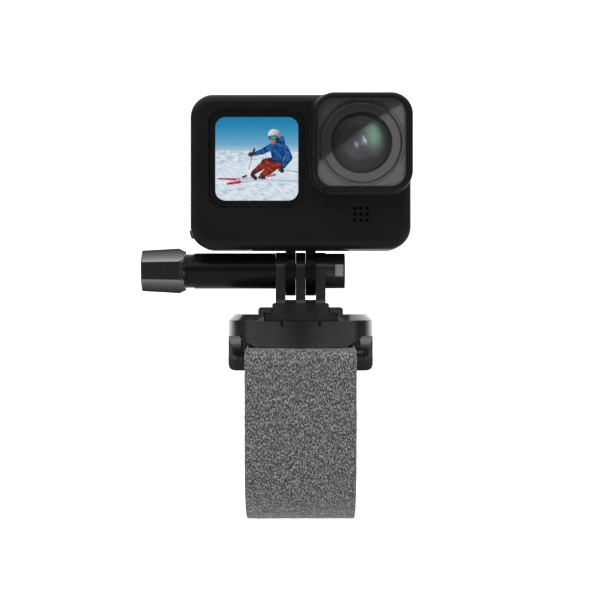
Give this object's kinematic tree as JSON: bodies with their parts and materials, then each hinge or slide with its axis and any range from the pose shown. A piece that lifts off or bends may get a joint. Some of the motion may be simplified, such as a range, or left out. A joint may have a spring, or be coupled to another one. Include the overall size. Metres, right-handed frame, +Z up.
{
  "type": "action camera on wrist strap",
  "caption": "Small black action camera with front and rear screens and a square lens cover, on a thumbscrew buckle, a swivel head and a padded fabric wrist strap.",
  "frame": {"origin": "centre of the wrist space inside the strap loop", "axes": "+X the viewer's right along the wrist, -Y the front the lens faces, +Z up from the wrist to the camera"},
  "size_m": [0.0884, 0.0594, 0.1389],
  "materials": {
    "case_plastic": "fine satin moulding, near black",
    "button_plastic": "satin",
    "screen_glass": "polished, dark tinted",
    "display_panel": "glossy panel",
    "lens_glass": "polished, coated",
    "black_metal": "black anodised",
    "circuit_board": "solder mask",
    "frame_metal": "stamped",
    "battery_wrap": "printed wrap without text",
    "steel": "bright",
    "speaker_black": "matt",
    "seal_rubber": "soft matt",
    "red_trim": "satin",
    "mount_plastic": "smooth, slightly glossy",
    "strap_fabric": "heathered grey knit over foam",
    "hook_tape": "hook tape",
    "tip_rubber": "moulded",
    "pad_fabric": "soft foam with knit face"
  },
  "bodies": {
    "base": {"saddle_base": "mount_plastic", "sole_left": "seal_rubber", "sole_right": "seal_rubber", "friction_ring": "seal_rubber", "pivot_washer": "steel", "pivot_screw": "steel", "keeper_plate": "mount_plastic", "wrist_pad": "pad_fabric", "strap": "strap_fabric", "hook_patch": "hook_tape", "strap_tail": "strap_fabric", "tail_tip": "tip_rubber"},
    "swivel": {"swivel_head": "mount_plastic"},
    "lock_tab": {"lock_tab": "mount_plastic"},
    "buckle": {"buckle": "mount_plastic", "lock_nut": "steel"},
    "thumbscrew": {"knob": "mount_plastic", "barrel": "mount_plastic", "screw_shaft": "steel"},
    "lens_cover": {"lens_cover_frame": "case_plastic", "lens_cover_glass": "lens_glass"},
    "shutter_button": {"shutter_button": "button_plastic", "shutter_ring": "red_trim"},
    "mode_button": {"mode_button": "button_plastic"},
    "side_door": {"side_door": "case_plastic", "door_seal": "seal_rubber"},
    "door_latch": {"door_latch": "button_plastic"},
    "camera": {"front_shell": "case_plastic", "rear_shell": "case_plastic", "lens_boss": "case_plastic", "front_screen_glass": "screen_glass", "front_display": "display_panel", "rear_screen_glass": "screen_glass", "rear_display": "display_panel", "bayonet_ring": "black_metal", "lens_barrel": "black_metal", "lens_front_element": "lens_glass", "lens_rear_element": "lens_glass", "image_sensor": "circuit_board", "sensor_board": "circuit_board", "main_board": "circuit_board", "chassis": "frame_metal", "battery": "battery_wrap", "card_socket": "steel", "memory_card": "battery_wrap", "usb_port": "steel", "speaker": "speaker_black", "grille_mesh": "speaker_black", "shutter_switch": "circuit_board", "mode_switch": "circuit_board", "door_hinge_pin": "steel", "finger_cradle": "black_metal", "finger_left": "case_plastic", "finger_right": "case_plastic", "finger_pin_left": "steel", "finger_pin_right": "steel"}
  },
  "joints": [
    {"name": "head_swivel", "type": "hinge", "parent": "base", "child": "swivel", "pos_m": [0, 0, 0.0365], "axis": [0, 0, 1], "continuous": true},
    {"name": "lock_tab_push", "type": "slide", "parent": "swivel", "child": "lock_tab", "axis": [0, 1, 0], "range_m": [0, 0.0012], "stiffness_N_per_m": 800, "springref_m": -0.0006},
    {"name": "buckle_slide", "type": "slide", "parent": "swivel", "child": "buckle", "axis": [0, 1, 0], "range_m": [0, 0.03]},
    {"name": "camera_tilt", "type": "hinge", "parent": "buckle", "child": "camera", "pos_m": [0, 0, 0.0546], "axis": [-1, 0, 0], "range_deg": [-75, 75]},
    {"name": "knob_turn", "type": "hinge", "parent": "buckle", "child": "thumbscrew", "pos_m": [0, 0, 0.0546], "axis": [1, 0, 0], "continuous": true},
    {"name": "lens_cover_twist", "type": "hinge", "parent": "camera", "child": "lens_cover", "pos_m": [0.01955, -0.018, 0.0955], "axis": [0, 1, 0], "range_deg": [0, 45]},
    {"name": "shutter_press", "type": "slide", "parent": "camera", "child": "shutter_button", "axis": [0, 0, -1], "range_m": [0, 0.0006], "stiffness_N_per_m": 1200, "springref_m": -0.0005},
    {"name": "mode_press", "type": "slide", "parent": "camera", "child": "mode_button", "axis": [-1, 0, 0], "range_m": [0, 0.0005], "stiffness_N_per_m": 1200, "springref_m": -0.0005},
    {"name": "door_open", "type": "hinge", "parent": "camera", "child": "side_door", "pos_m": [-0.0351, 0, 0.1029], "axis": [0, 1, 0], "range_deg": [0, 95]},
    {"name": "latch_slide", "type": "slide", "parent": "side_door", "child": "door_latch", "axis": [0, 0, 1], "range_m": [0, 0.0015]}
  ]
}
